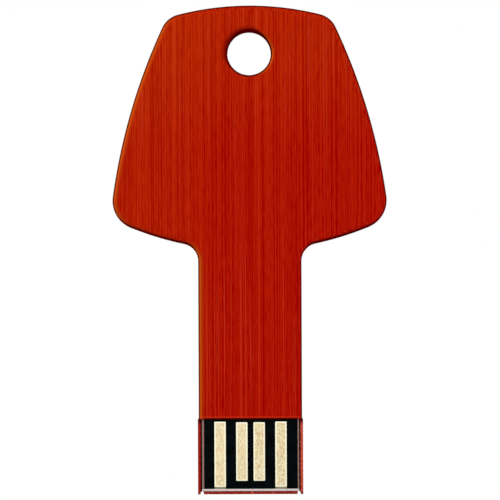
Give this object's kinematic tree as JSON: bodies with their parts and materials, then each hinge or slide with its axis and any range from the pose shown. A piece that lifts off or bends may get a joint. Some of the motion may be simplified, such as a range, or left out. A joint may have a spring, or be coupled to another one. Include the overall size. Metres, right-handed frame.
{
  "type": "usb flash drive",
  "caption": "Key-shaped capless USB flash drive: brushed red aluminium bow with keyring hole, straight shank, open plug tray with gold contacts.",
  "frame": {"origin": "middle of the plug's tip, at half the drive's thickness", "axes": "+Z from the plug's tip up to the keyring hole, -Y out of the face with the contacts, +X across the width"},
  "size_m": [0.0316, 0.0028, 0.0562],
  "materials": {
    "red_anodised_aluminium": "vertically brushed, red anodised, satin",
    "black_moulded_plastic": "moulded, fine texture",
    "adhesive_film": "translucent white film",
    "foam_pad": "thin grey foam",
    "board_laminate": "cut glass-fibre laminate, matt",
    "black_solder_mask": "glossy black",
    "gold_plating": "fine-grained gold plate, pale",
    "solder": "tinned, satin",
    "silicon": "polished grey",
    "gold_wire": "bright drawn wire",
    "capacitor_ceramic": "tan fired ceramic",
    "resistor_ceramic": "black glaze on ceramic",
    "crystal_ceramic": "fired ceramic",
    "crystal_lid_metal": "plated lid",
    "mould_epoxy": "moulded black epoxy"
  },
  "bodies": {
    "root": {"front_shell": "red_anodised_aluminium", "back_shell": "red_anodised_aluminium", "core_frame": "black_moulded_plastic", "front_adhesive": "adhesive_film", "back_adhesive": "adhesive_film", "module_pad": "foam_pad", "module_substrate": "board_laminate", "contact_side_mask": "black_solder_mask", "component_side_mask": "black_solder_mask", "contact_power": "gold_plating", "contact_data_minus": "gold_plating", "contact_data_plus": "gold_plating", "contact_ground": "gold_plating", "test_pads": "gold_plating", "bond_fingers": "gold_plating", "solder_joints": "solder", "controller_die": "silicon", "controller_die_film": "adhesive_film", "controller_wires": "gold_wire", "flash_die_lower": "silicon", "flash_film_lower": "adhesive_film", "flash_die_upper": "silicon", "flash_film_upper": "adhesive_film", "flash_wires": "gold_wire", "capacitor_bodies": "capacitor_ceramic", "capacitor_terminals": "solder", "resistor_bodies": "resistor_ceramic", "resistor_terminals": "solder", "crystal_base": "crystal_ceramic", "crystal_lid": "crystal_lid_metal", "mould_cap": "mould_epoxy"}
  },
  "joints": []
}
